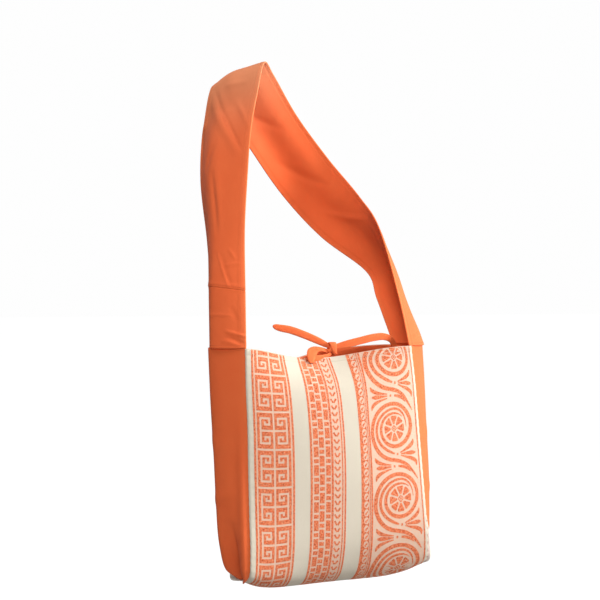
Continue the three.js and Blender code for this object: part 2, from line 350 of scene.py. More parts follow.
def panel_relief(across, run):
    """Small puckers beside the side seams, and the hem's fold round the mouth."""
    from_seam = np.minimum(across, 1 - across) * PANEL_WIDTH
    pucker = np.sin(2 * np.pi * run / SEAM_PUCKER_PITCH) * np.exp(-((from_seam / SEAM_PUCKER_REACH) ** 2))
    return SEAM_PUCKER * pucker + HEM_BULGE * panel_hem(run)


panel_face = with_relief(panel_sheet, panel_relief)
panel_runs = finer_ends(PANEL_LENGTH, HEM_DEPTH + 6, HEM_ROWS, PANEL_ROWS)
panel_shares = np.linspace(0, 1, PANEL_COLUMNS + 1)
panel = cloth_wall(
    "panel_cloth",
    panel_face,
    panel_runs,
    panel_shares,
    PANEL_WIDTH,
    PANEL_CLOTH_LENGTH,
    lambda across, run: PANEL_THICKNESS + (HEM_EXTRA + HEM_BULGE) * panel_hem(run),
)

# Where each woven band starts and stops across the cloth, in millimetres from the left seam.
KEY_BAND = (10.2, 84.3)
BRICK_BAND = (113.6, 158.4)
ARROW_BAND = (158.4, 183.0)
CHAIN_BAND = (213.6, 235.0)
SCROLL_BAND = (235.0, 340.2)
YARN_PITCH = 0.7
SLUB_SPOTS = 900
SLUB_STRETCH = (1, 0.12, 1)
SLUB_HEIGHT = 0.6
GROUND_CLOUD_SPOTS = 26
GROUND_CLOUD_SHARE = 0.22
PICK_SPOTS = 380
PICK_LIMIT = 0.56
TINT_LEAST = 0.22
TINT_BY_SLUB = 0.6
TINT_BY_PICK = 0.3
GROUND_RELIEF = 0.12
GROUND_ROUGHNESS = 0.88
COTTON_SHEEN = 0.04
COTTON_SPECULAR = 0.2
CREAM_COTTON = (0.57, 0.51, 0.41, 1)
CREAM_CLOUD = (0.62, 0.55, 0.44, 1)
BAND_GROUND = (0.74, 0.38, 0.25, 1)
FIGURE_ORANGE = (0.64, 0.115, 0.036, 1)
FIGURE_PALE = (0.84, 0.38, 0.20, 1)
FIGURE_DARK = (0.40, 0.055, 0.020, 1)
FIGURE_CLOUD = (0.80, 0.27, 0.11, 1)


def weave(thread, pitch):
    """The flat cloth's two distances in metres, and the height of its plain weave from 0 to 1."""
    flat = thread.node("ShaderNodeUVMap", {"uv_map": "cloth"}, {})
    sideways = thread.node("ShaderNodeSeparateXYZ", {}, {0: flat})
    lengthways = sideways.output("Y")
    turn = math.pi / (pitch * MM)
    over = (sideways * turn).applied("SINE")
    under = (lengthways * turn).applied("SINE")
    return flat, sideways, lengthways, (over * under).applied("ABSOLUTE")


def cloth_noise(thread, flat, scale, detail, stretch=(1, 1, 1)):
    """Uneven yarn and dye, from 0 to 1, as so many spots to a metre."""
    stretched = thread.node("ShaderNodeVectorMath", {"operation": "MULTIPLY"}, {0: flat, 1: stretch})
    return thread.node("ShaderNodeTexNoise", {}, {"Vector": stretched, "Scale": scale, "Detail": detail})


def mixed(thread, share, first, second):
    return thread.node("ShaderNodeMix", {"data_type": "RGBA"}, {0: share, 6: first, 7: second}, output=2)


def cotton_shader(thread, colour, height, relief, roughness):
    bump = thread.node("ShaderNodeBump", {}, {"Strength": 1, "Distance": relief * MM, "Height": height})
    sockets = {"Base Color": colour, "Roughness": roughness, "Normal": bump}
    sockets["Sheen Weight"] = COTTON_SHEEN
    sockets["Specular IOR Level"] = COTTON_SPECULAR
    finish_material(thread, thread.node("ShaderNodeBsdfPrincipled", {}, sockets))


figured_ground, thread = new_material("figured_ground")
flat, sideways, lengthways, yarn = weave(thread, YARN_PITCH)
in_band = 0
for start, stop in [KEY_BAND, (BRICK_BAND[0], ARROW_BAND[1]), (CHAIN_BAND[0], SCROLL_BAND[1])]:
    in_band = in_band + (sideways > start * MM) * (sideways < stop * MM)
slub = cloth_noise(thread, flat, SLUB_SPOTS, 2, SLUB_STRETCH)
cloud = cloth_noise(thread, flat, GROUND_CLOUD_SPOTS, 3)
picked = cloth_noise(thread, flat, PICK_SPOTS, 2) > PICK_LIMIT
tinted = in_band * (TINT_LEAST + TINT_BY_SLUB * slub + TINT_BY_PICK * picked)
ground = mixed(thread, tinted, CREAM_COTTON, BAND_GROUND)
ground = mixed(thread, cloud * GROUND_CLOUD_SHARE, ground, CREAM_CLOUD)
cotton_shader(thread, ground, yarn + slub * SLUB_HEIGHT, GROUND_RELIEF, GROUND_ROUGHNESS)
panel.data.materials.append(figured_ground)
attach(panel, "root")
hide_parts("body_panel")

# Woven figures
# The extra orange weft that floats over the panel's cream ground and stands a little proud of it. Each
# band repeats one small chart down the strip: keys, bricks, arrows, a chain, and a scroll with wheels.
FIGURE_RELIEF = 0.3
FIGURE_SINK = 0.12
CUT_MARGIN = 1.2
EDGE_MARGIN = 0.6
FLOAT_TURNS_ACROSS = 2600
FLOAT_TURNS_ALONG = 5200
FLOAT_HEIGHT = 0.5
FLECK_SPOTS = 420
FLECK_STRETCH = (1, 0.7, 1)
FLECK_LIMIT = 0.52
FLECK_BY_NOISE = 0.9
FLECK_BY_FLOAT = 0.12
FLECK_SHARE = 0.75
SHADE_SPOTS = 330
SHADE_STRETCH = (0.8, 1, 1)
SHADE_LIMIT = 0.55
SHADE_SHARE = 0.9
FIGURE_CLOUD_SPOTS = 40
FIGURE_CLOUD_SHARE = 0.15
YARN_RELIEF = 0.15
YARN_ROUGHNESS = 0.85
CELL_LIMIT = 4.5
KEY_REPEAT = 64
KEY_START = -23.4
KEY_COLUMNS = [3.7, 2.8] + [4.6, 3.46] * 7 + [4.6, 2.8, 3.7]
KEY_ROWS = [3.5, 7.3, 3.5, 3.3, 3.6, 3.5, 7, 3.5, 7, 3.5, 3.6, 3.3, 3.5, 7.3]
KEY_HALF_CHART = [
    "#.................#",
    "#.#######.#######.#",
    "#.#.....#.#.....#.#",
    "#.#.###.#.#.###.#.#",
    "#.#.#.#.#.#.#.#.#.#",
    "#.#.#...#.#...#.#.#",
    "#.#.#####.#####.#.#",
    "#.#.............#.#",
]
BRICK_REPEAT = 32.1
BRICK_START = -24.8
BRICK_COLUMNS = [4.0, 2.7, 9.2, 1.8, 9.4, 3.0, 9.0, 1.6, 4.1]
BRICK_ROWS = [2.3, 3.3, 6.9, 3.3, 2.3, 3.3, 6.9, 3.3]
BRICK_CHART = [
    "#.#.#.#.#",
    "#.#...#.#",
    "#.#.#.#.#",
    "#.#...#.#",
    "#.#.#.#.#",
    "#...#...#",
    "#.#.#.#.#",
    "#...#...#",
]

# How far the last two bands' figures are laid to the right, and up, of their plain places on the cloth.
# The table is fitted in place of a bend in the cloth that the panel's sections don't have.
SCROLL_PULL = {
    "run": [0, 23, 75, 145, 205, 268, 330, 400, 470, 900],
    "side": [12.8, 12.4, 3.5, -3.6, 0, 2.7, 1.4, 0, 0, 0],
    "rise": [0, 5.4, 2.4, 1.8, 1.4, 1.6, 0.7, 0, 0, 0],
}
PULL_POWER = 1.75


def chart_cells(left, columns, rows, chart, repeat):
    """The filled squares of a woven chart, on the flat cloth, cut into small cells."""
    def cut(sizes):
        places = [0.0]
        owners = []
        for owner, size in enumerate(sizes):
            count = math.ceil(size / CELL_LIMIT)
            for part in range(count):
                places.append(places[-1] + size / count)
                owners.append(owner)
        return np.array(places), owners

    row_scale = repeat / sum(rows)
    s_places, s_owners = cut(columns)
    t_places, t_owners = cut([row * row_scale for row in rows])
    s_grid, t_grid = np.meshgrid(left + s_places, t_places)
    points = np.stack([s_grid, t_grid], -1).reshape(-1, 2)
    stride = len(s_places)
    faces = []
    for row, t_owner in enumerate(t_owners):
        for column, s_owner in enumerate(s_owners):
            if chart[t_owner][s_owner] == "#":
                corner = row * stride + column
                faces.append([corner, corner + 1, corner + stride + 1, corner + stride])
    return points, faces


def joined(shapes):
    """Several flat shapes as one."""
    points = []
    faces = []
    for shape_points, shape_faces in shapes:
        first = len(points)
        points.extend(shape_points)
        faces.extend([[first + corner for corner in face] for face in shape_faces])
    return points, faces


def stroke(s, t, half_widths, step=2.5):
    """A flat stroke along a smooth line, as wide as half_widths says to each side."""
    line = np.stack([s, t], -1).astype(float)
    lengths = np.linalg.norm(np.diff(line, axis=0), axis=1)
    table = {"run": np.concatenate([[0], np.cumsum(lengths)]), "s": s, "t": t, "half": half_widths}
    count = max(2, math.ceil(table["run"][-1] / step))
    run = np.linspace(0, table["run"][-1], count + 1)
    middle = np.stack([smooth(table, "s", run), smooth(table, "t", run)], -1)
    forward = unit(np.gradient(middle, axis=0))
    half = np.maximum(smooth(table, "half", run), 0.15)[:, None]
    side = np.stack([-forward[:, 1], forward[:, 0]], -1) * half
    points = np.concatenate([middle + side, middle - side])
    near = np.arange(count)
    far = near + count + 1
    return points.tolist(), np.stack([near, far, far + 1, near + 1], -1).tolist()


def straight(left, right, repeat):
    """A plain line down the cloth."""
    middle = (left + right) / 2
    half = (right - left) / 2
    return stroke([middle, middle], [0, repeat], [half, half], 4)


def new_tree(name, inputs, output):
    """A tree of Geometry Nodes with these inputs and one output, and its inputs as a Thread."""
    tree = bpy.data.node_groups.new(name, "GeometryNodeTree")
    for socket_name, kind in inputs.items():
        tree.interface.new_socket(socket_name, in_out="INPUT", socket_type="NodeSocket" + kind)
    tree.interface.new_socket(output, in_out="OUTPUT", socket_type="NodeSocketGeometry")
    return tree, Thread(tree).node("NodeGroupInput", {}, {})


def figure_tree():
    """Repeats a flat chart down the strip, raises it, and lays it on the panel by its UV map."""
    sockets = {
        "Chart": "Geometry",
        "Panel": "Object",
        "Start": "Float",
        "Repeat": "Float",
        "Count": "Int",
        "Length": "Float",
        "Relief": "Float",
        "Sink": "Float",
        "Yarn": "Material",
    }
    tree, chart = new_tree("woven_repeat", sockets, "Figures")
    given = chart.output
    first = chart.node("ShaderNodeCombineXYZ", {}, {"Y": given("Start")})
    pace = chart.node("ShaderNodeCombineXYZ", {}, {"Y": given("Repeat")})
    line_sockets = {"Count": given("Count"), "Start Location": first, "Offset": pace}
    places = chart.node("GeometryNodeMeshLine", {"mode": "OFFSET"}, line_sockets)
    repeats = chart.node("GeometryNodeInstanceOnPoints", {}, {"Points": places, "Instance": chart})
    cloth = chart.node("GeometryNodeRealizeInstances", {}, {"Geometry": repeats})
    cloth = chart.node("GeometryNodeMergeByDistance", {}, {"Geometry": cloth, "Distance": 1e-5})
    place = chart.node("GeometryNodeInputPosition", {}, {})
    run = chart.node("ShaderNodeSeparateXYZ", {}, {0: place}).output("Y")
    outside = (run < CUT_MARGIN * MM) + (run > given("Length") - CUT_MARGIN * MM)
    delete_sockets = {"Geometry": cloth, "Selection": outside}
    cloth = chart.node("GeometryNodeDeleteGeometry", {"domain": "FACE"}, delete_sockets)
    below_edge = run.maths("MAXIMUM", run, EDGE_MARGIN * MM)
    within = run.maths("MINIMUM", below_edge, given("Length") - EDGE_MARGIN * MM)
    step = chart.node("ShaderNodeCombineXYZ", {}, {"Y": within - run})
    cloth = chart.node("GeometryNodeSetPosition", {}, {"Geometry": cloth, "Offset": step})
    raised_sockets = {
        "Mesh": cloth,
        "Offset": (0, 0, 1),
        "Offset Scale": given("Relief"),
        "Individual": False,
    }
    raised = chart.node("GeometryNodeExtrudeMesh", {"mode": "FACES"}, raised_sockets)
    store_settings = {"data_type": "FLOAT2", "domain": "CORNER"}
    store_sockets = {"Geometry": raised, "Name": "cloth", "Value": place}
    raised = chart.node("GeometryNodeStoreNamedAttribute", store_settings, store_sockets)
    panel_mesh = chart.node("GeometryNodeObjectInfo", {}, {"Object": given("Panel")}).output("Geometry")
    uv_settings = {"data_type": "FLOAT_VECTOR"}
    uv_map = chart.node("GeometryNodeInputNamedAttribute", uv_settings, {"Name": "cloth"})
    on_panel = {"Mesh": panel_mesh, "UV Map": uv_map, "Sample UV": place}
    face_place = chart.node("GeometryNodeInputPosition", {}, {})
    face_normal = chart.node("GeometryNodeInputNormal", {}, {})
    spot = chart.node("GeometryNodeSampleUVSurface", uv_settings, {**on_panel, "Value": face_place})
    outward = chart.node("GeometryNodeSampleUVSurface", uv_settings, {**on_panel, "Value": face_normal})
    height = chart.node("ShaderNodeSeparateXYZ", {}, {0: place}).output("Z") - given("Sink")
    lift = chart.node("ShaderNodeVectorMath", {"operation": "SCALE"}, {0: outward, "Scale": height})
    laid = chart.node("ShaderNodeVectorMath", {"operation": "ADD"}, {0: spot, 1: lift})
    figures = chart.node("GeometryNodeSetPosition", {}, {"Geometry": raised, "Position": laid})
    figures = chart.node("GeometryNodeRealizeInstances", {}, {"Geometry": figures})
    figures = chart.node("GeometryNodeSetMaterial", {}, {"Geometry": figures, "Material": given("Yarn")})
    chart.node("NodeGroupOutput", {}, {"Figures": figures})
    return tree


def made_by_nodes(name, source, tree, values):
    """The plain object that a node tree makes from a source object, which is then removed."""
    modifier = source.modifiers.new("made_by", "NODES")
    modifier.node_group = tree
    for socket in tree.interface.items_tree:
        if socket.in_out == "INPUT" and socket.name in values:
            modifier[socket.identifier] = values[socket.name]
    evaluated = source.evaluated_get(bpy.context.evaluated_depsgraph_get())
    mesh = bpy.data.meshes.new_from_object(evaluated)
    mesh.name = name
    source.modifiers.clear()
    bpy.data.objects.remove(source)
    return new_object(name, mesh)


across, run = np.meshgrid(panel_shares, panel_runs)
panel_points = panel_face(across, run)
panel_flat = flat_places(panel_points, PANEL_WIDTH, panel_shares, PANEL_CLOTH_LENGTH)
pulled_share = (panel_flat[..., 0] - CHAIN_BAND[0]) / (SCROLL_BAND[1] - CHAIN_BAND[0])
pulled = np.sin(np.pi * np.clip(pulled_share, 0, 1) ** PULL_POWER)
along = panel_flat[..., 1].copy()
panel_flat[..., 0] -= pulled * smooth(SCROLL_PULL, "side", along)
panel_flat[..., 1] += pulled * smooth(SCROLL_PULL, "rise", along)
face_index = np.arange(across.size).reshape(across.shape)
face_corners = [face_index[:-1, :-1], face_index[1:, :-1], face_index[1:, 1:], face_index[:-1, 1:]]
panel_outside = cloth_object(
    "panel_outside",
    panel_points.reshape(-1, 3),
    np.stack(face_corners, -1).reshape(-1, 4).tolist(),
    panel_flat.reshape(-1, 2),
)

figure_yarn, thread = new_material("figure_yarn")
flat, sideways, lengthways, yarn = weave(thread, YARN_PITCH)
float_wave = (sideways * FLOAT_TURNS_ACROSS + lengthways * FLOAT_TURNS_ALONG).applied("SINE")
fleck = cloth_noise(thread, flat, FLECK_SPOTS, 2, FLECK_STRETCH)
flecked = (fleck * FLECK_BY_NOISE + float_wave * FLECK_BY_FLOAT) > FLECK_LIMIT
shaded = cloth_noise(thread, flat, SHADE_SPOTS, 2, SHADE_STRETCH) > SHADE_LIMIT
cloud = cloth_noise(thread, flat, FIGURE_CLOUD_SPOTS, 2)
figure_colour = mixed(thread, shaded * SHADE_SHARE, FIGURE_ORANGE, FIGURE_DARK)
figure_colour = mixed(thread, flecked * FLECK_SHARE, figure_colour, FIGURE_PALE)
figure_colour = mixed(thread, cloud * FIGURE_CLOUD_SHARE, figure_colour, FIGURE_CLOUD)
cotton_shader(thread, figure_colour, yarn + float_wave * FLOAT_HEIGHT, YARN_RELIEF, YARN_ROUGHNESS)

key_chart = KEY_HALF_CHART + KEY_HALF_CHART[6:0:-1]
key_shape = chart_cells(KEY_BAND[0], KEY_COLUMNS, KEY_ROWS, key_chart, KEY_REPEAT)
brick_shape = chart_cells(BRICK_BAND[0], BRICK_COLUMNS, BRICK_ROWS, BRICK_CHART, BRICK_REPEAT)

ARROW_REPEAT = 11.8
ARROW_START = -9.7
ARROW_MIDDLE = ARROW_BAND[0] + 7.8
ARROW_ARMS = np.array([5.4, 0.6])
ARROW_RUNS = [0.4, 7.4]
ARROW_HALF_WIDTHS = [1.8, 1.5]
arrow_shape = joined([
    stroke(ARROW_MIDDLE - ARROW_ARMS, ARROW_RUNS, ARROW_HALF_WIDTHS),
    stroke(ARROW_MIDDLE + ARROW_ARMS, ARROW_RUNS, ARROW_HALF_WIDTHS),
    straight(ARROW_BAND[0] + 16.6, ARROW_BAND[0] + 18.8, ARROW_REPEAT),
    straight(ARROW_BAND[1] - 3, ARROW_BAND[1], ARROW_REPEAT),
])

CHAIN_REPEAT = 13.9
CHAIN_START = -14.4
CHAIN_MIDDLE = CHAIN_BAND[0] + 10.2
CHAIN_HALF = 5.1
RING_SIDES = 20
turns = np.linspace(0, 2 * np.pi, RING_SIDES + 1)
ring = np.stack([np.cos(turns), np.sin(turns)], -1)
box_reach = np.array([CHAIN_HALF, CHAIN_REPEAT / 2])
box_edge = ring / np.max(np.abs(ring) / box_reach, axis=1, keepdims=True)
chain_centre = np.array([CHAIN_MIDDLE, CHAIN_REPEAT / 2])
ring_first = np.arange(RING_SIDES)
ring_far = ring_first + RING_SIDES + 1
ring_faces = np.stack([ring_first, ring_far, ring_far + 1, ring_first + 1], -1).tolist()
frame_points = np.concatenate([chain_centre + ring * [4.8, 6.2], chain_centre + box_edge]).tolist()
hook_s = CHAIN_MIDDLE + np.array([2.0, 1.2, -0.8, -1.8, 0.2])
hook_t = CHAIN_REPEAT / 2 + np.array([-3.0, -0.6, 0.6, 2.4, 3.4])
chain_shape = joined([
    stroke(hook_s, hook_t, [0.6, 1.3, 1.5, 1.2, 0.6], 1.5),
    (frame_points, ring_faces),
    straight(CHAIN_BAND[0], CHAIN_MIDDLE - CHAIN_HALF, CHAIN_REPEAT),
    straight(CHAIN_BAND[0] + 16.9, CHAIN_BAND[0] + 18.5, CHAIN_REPEAT),
    straight(CHAIN_BAND[0] + 19.8, CHAIN_BAND[0] + 23, CHAIN_REPEAT),
])

SCROLL_REPEAT = 122.6
SCROLL_START = -38.7
SCROLL_MIDDLE = 291.5
WHEEL_PLACE = 61.5
WHEEL_PETALS = 8
SCROLL_WEIGHT = 1.14
SPIRAL = {
    "run": [0, 45, 90, 135, 180, 225, 270, 315, 360, 405, 450, 495],
    "radius": [26.6, 26.6, 28.2, 30.2, 30.5, 30.8, 32.6, 35.8, 39.2, 43, 46.8, 49.6],
    "half": [0.4, 1.7, 2.2, 2.5, 2.8, 3.1, 3.1, 3.0, 3.0, 3.0, 3.1, 3.2],
}
STEM_END = {
    "s": [-50, -47, -41, -31.5, -19, -5, 8, 21, 29.5, 37, 41],
    "t": [10, 22, 34, 43.8, 50.8, 54.6, 58.8, 66.8, 76.6, 87, 94],
    "half": [3.2, 3.2, 3.2, 3.1, 3.1, 3.0, 2.9, 2.5, 2.0, 1.3, 0.5],
}
SPIRAL_STEP = 11
spiral_turn = np.arange(0, SPIRAL["run"][-1] + 1, SPIRAL_STEP)
spiral_radius = smooth(SPIRAL, "radius", spiral_turn)
spiral_angle = np.radians(45 - spiral_turn)
stem_s = np.concatenate([spiral_radius * np.sin(spiral_angle), STEM_END["s"]])
stem_t = np.concatenate([-spiral_radius * np.cos(spiral_angle), STEM_END["t"]])
stem_half = np.concatenate([smooth(SPIRAL, "half", spiral_turn), STEM_END["half"]])
scroll_strokes = [
    (stem_s, stem_t, stem_half),
    ([27, 25.8, 21, 12.5, 1, -13, -26, -35.8, -40.3, -39.5, -34.7, -25.5, -14.5, -4.5],
     [-1, -12, -23, -31, -34.5, -32.5, -25.8, -14.8, -1, 11, 22, 31.5, 38.5, 43.2],
     [0.4, 0.9, 1.4, 1.7, 1.8, 1.9, 2.1, 2.3, 2.4, 2.4, 2.4, 2.3, 2.1, 1.3]),
    ([0, 3.4], [44.2, 45], [2.0, 1.6]),
    ([8, 20, 31, 36.8, 38.6], [42.8, 38.8, 33.6, 28, 22.5], [0.9, 2.0, 2.9, 2.4, 0.6]),
    ([9, 22, 34, 40.8], [45.2, 45.4, 45.9, 46.4], [0.8, 2.2, 3.1, 1.2]),
    ([8.4, 20.5, 32.5, 40.4, 41], [47.6, 52, 56.4, 62.6, 70], [0.9, 1.8, 2.8, 2.5, 0.6]),
    ([26, 19.5, 9.5, 0.5], [78.5, 72.2, 67.3, 65.4], [0.5, 1.8, 2.2, 1.6]),
    ([-6, -9.4], [65, 65], [2.1, 1.7]),
    ([-14.5, -30, -41, -46.5, -48], [61.6, 58.8, 55, 50.5, 46], [0.9, 2.0, 2.9, 2.4, 0.6]),
    ([-14.5, -28, -39.5, -46.5], [65, 65, 64.7, 64.3], [0.8, 2.3, 3.2, 1.2]),
    ([-14.5, -30, -41, -46.3, -48], [68.8, 71.8, 76, 81, 87], [0.9, 1.9, 2.8, 2.4, 0.6]),
]
scroll_strokes = [(s, t, np.array(half) * SCROLL_WEIGHT) for s, t, half in scroll_strokes]
petal_turns = 2 * np.pi * np.arange(WHEEL_PETALS) / WHEEL_PETALS
for turn in petal_turns:
    reach = np.array([7.6, 14, 20, 22])
    scroll_strokes.append((reach * np.sin(turn), -reach * np.cos(turn), [1.5, 4.1, 6.6, 5.6]))
for turn in np.pi / 2 * np.arange(4):
    tips = np.array([turn, turn + np.pi / 2])
    scroll_strokes.append((5.4 * np.sin(tips), -5.4 * np.cos(tips), [0.9, 0.9]))
scroll_strokes.append(([-1.8, 1.8], [0, 0], [1.8, 1.8]))
scroll_shapes = []
for s, t, half in scroll_strokes:
    scroll_shapes.append(stroke(SCROLL_MIDDLE + np.array(s), WHEEL_PLACE + np.array(t), half))
scroll_shapes.append(straight(SCROLL_BAND[1] - 2.4, SCROLL_BAND[1], SCROLL_REPEAT))
scroll_shape = joined(scroll_shapes)

woven_repeat = figure_tree()
WOVEN_BANDS = [
    ("figure_key", key_shape, KEY_START, KEY_REPEAT),
    ("figure_brick", brick_shape, BRICK_START, BRICK_REPEAT),
    ("figure_arrow", arrow_shape, ARROW_START, ARROW_REPEAT),
    ("figure_chain", chain_shape, CHAIN_START, CHAIN_REPEAT),
    ("figure_scroll", scroll_shape, SCROLL_START, SCROLL_REPEAT),
]
for name, (points, faces), start, repeat in WOVEN_BANDS:
    flat_mesh = bpy.data.meshes.new(name + "_chart")
    flat_mesh.from_pydata([(s * MM, t * MM, 0) for s, t in points], [], faces)
    chart = new_object(name + "_chart", flat_mesh)
    band = made_by_nodes(name, chart, woven_repeat, {
        "Panel": panel_outside,
        "Start": start * MM,
        "Repeat": repeat * MM,
        "Count": math.ceil((PANEL_CLOTH_LENGTH - start) / repeat),
        "Length": PANEL_CLOTH_LENGTH * MM,
        "Relief": FIGURE_RELIEF * MM,
        "Sink": FIGURE_SINK * MM,
        "Yarn": figure_yarn,
    })
    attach(band, "root")
bpy.data.objects.remove(panel_outside)

# Corner turnings
# The panel's seam turnings, which are not caught in at the lower corners. They stick out below the
# gussets as two small flaps of the same cloth, one behind the left corner and one at the right.
TURNING_THICKNESS = 1.5
TURNING_ROOT_SHARE = 0.05
TURNING_TIP_SHARE = 0.012
TURNING_START_POWER = 1.4
TURNING_END_POWER = 10
TURNING_ROWS = 30
TURNING_COLUMNS = 8
STRIPE_START = 9
STRIPE_PITCH = 2.6
STRIPE_SHARE = 0.8
# The turnings' cream is far paler than the panel's: painted light that brightens the flaps where they sit in
# shade under the gussets.
REVERSE_CREAM_PAINTED_LIGHT = (0.86, 0.80, 0.71, 1)
# Which edge, the runs between which it sticks out, and how far it goes sideways and down.
TURNINGS = [
    ("turning_left", 0, 406, 462, -8, -14),
    ("turning_right", 1, 296, 398, 8, -2),
]


def turning_sheet(edge, first_run, last_run, aside, down):
    """A turning's outer face: across is the share of the panel's width that it was woven at."""
    def sheet(across, run):
        from_tip = np.abs(across - edge) - TURNING_TIP_SHARE
        out = 1 - from_tip / (TURNING_ROOT_SHARE - TURNING_TIP_SHARE)
        whole = np.clip((run - first_run) / (last_run - first_run), 0, 1)
        opening = np.sin(np.pi / 2 * whole) ** TURNING_START_POWER
        reach = out * opening * (1 - whole ** TURNING_END_POWER)
        root = panel_sheet(np.full(run.shape, float(edge)), run)
        return root + reach[..., None] * [aside, 0, 0] + (reach ** 2)[..., None] * [0, 0, down]
    return sheet


figured_reverse, thread = new_material("figured_reverse")
flat, sideways, lengthways, yarn = weave(thread, YARN_PITCH)
wave = (sideways * (2 * math.pi / (STRIPE_PITCH * MM))).applied("SINE")
from_edge = sideways.maths("MINIMUM", sideways, PANEL_WIDTH * MM - sideways)
striped = (wave > 0) * (from_edge > STRIPE_START * MM)
reverse_colour = mixed(thread, striped * STRIPE_SHARE, REVERSE_CREAM_PAINTED_LIGHT, FIGURE_DARK)
cotton_shader(thread, reverse_colour, yarn, GROUND_RELIEF, GROUND_ROUGHNESS)

for name, edge, first_run, last_run, aside, down in TURNINGS:
    turning_offsets = np.linspace(TURNING_TIP_SHARE, TURNING_ROOT_SHARE, TURNING_COLUMNS + 1)
    turning = cloth_wall(
        name,
        turning_sheet(edge, first_run, last_run, aside, down),
        np.linspace(first_run + 1, last_run - 1, TURNING_ROWS + 1),
        np.sort(np.abs(edge - turning_offsets)),
        PANEL_WIDTH,
        last_run - first_run,
        lambda across, run: np.array(TURNING_THICKNESS),
    )
    turning.data.materials.append(figured_reverse)
    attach(turning, "root")

# Hem stitching
# Rows of cotton lock stitch that hold the turned hem round the mouth. Each stitch is a short length of
# thread that lies on the cloth, and the next one starts where it dives in.
STITCH_PITCH = 3.4
STITCH_LENGTH = 2.7
STITCH_RADIUS = 0.32
HEM_STITCH_RUN = 8.5
HEM_STITCH_INSET = 0.008
THREAD_ROUGHNESS = 0.7
CREAM_THREAD = (0.62, 0.55, 0.44, 1)


def stitch_tree():
    """Lays stitches along rows of points, turned to the way that each point's outward says."""
    sockets = {
        "Rows": "Geometry",
        "Pitch": "Float",
        "Length": "Float",
        "Radius": "Float",
        "Yarn": "Material",
    }
    tree, rows = new_tree("stitch_row", sockets, "Stitches")
    given = rows.output
    line = rows.node("GeometryNodeMeshToCurve", {}, {"Mesh": rows})
    spacing = {"Curve": line, "Length": given("Pitch")}
    line = rows.node("GeometryNodeResampleCurve", {"mode": "LENGTH"}, spacing)
    vector = {"data_type": "FLOAT_VECTOR"}
    outward = rows.node("GeometryNodeInputNamedAttribute", vector, {"Name": "outward"})
    forward = rows.node("GeometryNodeInputTangent", {}, {})
    axes = {"primary_axis": "Z", "secondary_axis": "X"}
    directions = {"Primary Axis": outward, "Secondary Axis": forward}
    turn = rows.node("FunctionNodeAxesToRotation", axes, directions)
    size_sockets = {"X": given("Length") * 0.5, "Y": given("Radius"), "Z": given("Radius")}
    size = rows.node("ShaderNodeCombineXYZ", {}, size_sockets)
    stitch = rows.node("GeometryNodeMeshUVSphere", {}, {"Segments": 6, "Rings": 4, "Radius": 1})
    laid_sockets = {"Points": line, "Instance": stitch, "Rotation": turn, "Scale": size}
    laid = rows.node("GeometryNodeInstanceOnPoints", {}, laid_sockets)
    laid = rows.node("GeometryNodeRealizeInstances", {}, {"Geometry": laid})
    laid = rows.node("GeometryNodeSetMaterial", {}, {"Geometry": laid, "Material": given("Yarn")})
    rows.node("NodeGroupOutput", {}, {"Stitches": laid})
    return tree


def sewing_thread(name, colour):
    made, thread = new_material(name)
    sockets = {"Base Color": colour, "Roughness": THREAD_ROUGHNESS}
    sockets["Specular IOR Level"] = COTTON_SPECULAR
    finish_material(thread, thread.node("ShaderNodeBsdfPrincipled", {}, sockets))
    return made


def sheet_row(sheet, across, run):
    """A row of points on a sheet's outer face, and the way out of the face at each."""
    across, run = np.broadcast_arrays(np.array(across, float), np.array(run, float))
    return sheet(across, run), outward_of(sheet, across, run)


def stitched(name, rows, yarn):
    """Stitches along rows, each a pair of points in millimetres and outward directions."""
    edges = []
    first = 0
    for points, outward in rows:
        places = np.arange(first, first + len(points) - 1)
        edges += np.stack([places, places + 1], -1).tolist()
        first += len(points)
    mesh = bpy.data.meshes.new(name + "_rows")
    mesh.from_pydata((np.concatenate([row[0] for row in rows]) * MM).tolist(), edges, [])
    directions = mesh.attributes.new("outward", "FLOAT_VECTOR", "POINT")
    directions.data.foreach_set("vector", np.concatenate([row[1] for row in rows]).ravel())
    sewn = made_by_nodes(name, new_object(name + "_rows", mesh), stitch_row, {
        "Pitch": STITCH_PITCH * MM,
        "Length": STITCH_LENGTH * MM,
        "Radius": STITCH_RADIUS * MM,
        "Yarn": yarn,
    })
    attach(sewn, "root")
    return sewn


stitch_row = stitch_tree()
hem_shares = np.linspace(HEM_STITCH_INSET, 1 - HEM_STITCH_INSET, 100)
hem_runs = (HEM_STITCH_RUN, PANEL_LENGTH - HEM_STITCH_RUN)
hem_rows = [sheet_row(panel_face, hem_shares, run) for run in hem_runs]
cream_thread = sewing_thread("cream_thread", CREAM_THREAD)
stitched("hem_stitches", hem_rows, cream_thread)

# Lining
# A plain cotton sheet that hangs inside the panel, from just below the rim at the front, under the
# bottom and up to the rim at the back. It is sewn in with the hem and shows at the open mouth.
LINING_THICKNESS = 1
LINING_GAP = 1.2
LINING_SIDE_SHARE = 0.016
LINING_START = 1.5
LINING_WIDTH = 335
LINING_ROWS = 120
LINING_COLUMNS = 40
PLAIN_PITCH = 0.6
PLAIN_SLUB_SPOTS = 1100
PLAIN_SLUB_STRETCH = (1, 0.1, 1)
PLAIN_SLUB_SHARE = 0.1
PLAIN_SLUB_HEIGHT = 0.5
PLAIN_CLOUD_SPOTS = 18
PLAIN_CLOUD_SHARE = 0.3
PLAIN_RELIEF = 0.1
PLAIN_ROUGHNESS = 0.85
# How fast and how strongly the cloth is painted paler at its edges: a painted highlight where light catches
# the turned edges.
EDGE_HIGHLIGHT_FALL = -260
EDGE_HIGHLIGHT_SHARE = 0.45
COTTON_ORANGE = (0.74, 0.112, 0.028, 1)
COTTON_PALE = (0.86, 0.20, 0.060, 1)
# A paler colour painted round the strap's top, with its strength and reach: a painted highlight of light
# from above on the shoulder.
COTTON_LIT_TOP = (0.66, 0.25, 0.12, 1)
TOP_HIGHLIGHT_SHARE = 0.85
TOP_HIGHLIGHT_REACH = 105


